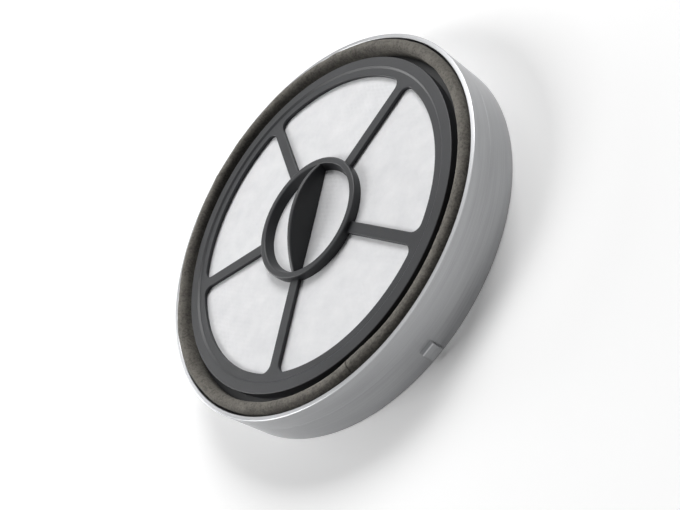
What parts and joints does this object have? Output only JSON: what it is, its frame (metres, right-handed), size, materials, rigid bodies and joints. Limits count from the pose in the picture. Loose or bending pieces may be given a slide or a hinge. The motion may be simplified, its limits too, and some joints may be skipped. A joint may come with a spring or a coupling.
{
  "type": "vacuum cleaner filter cartridge",
  "caption": "Round filter cartridge for a stick vacuum: metal ring, foam seal, spoked front grille with a pull fin, cloth and pleated paper inside.",
  "frame": {"origin": "centre of the back rim's plane, on the cartridge's axis", "axes": "+Z along the cartridge's axis, from the back rim to the grille; the pull fin lies along Y"},
  "size_m": [0.1, 0.1, 0.0181],
  "materials": {
    "outer_ring": "brushed round the ring",
    "rear_grille": "moulded, satin",
    "potting_ring": "cast adhesive",
    "pleat_pack": "soft filter paper",
    "front_cloth": "embossed non-woven",
    "front_frame": "moulded, satin",
    "seal_strip": "open-cell foam"
  },
  "bodies": {
    "root": {"outer_ring": "outer_ring", "rear_grille": "rear_grille", "potting_ring": "potting_ring", "pleat_pack": "pleat_pack", "front_cloth": "front_cloth", "front_frame": "front_frame", "seal_strip": "seal_strip"}
  },
  "joints": []
}
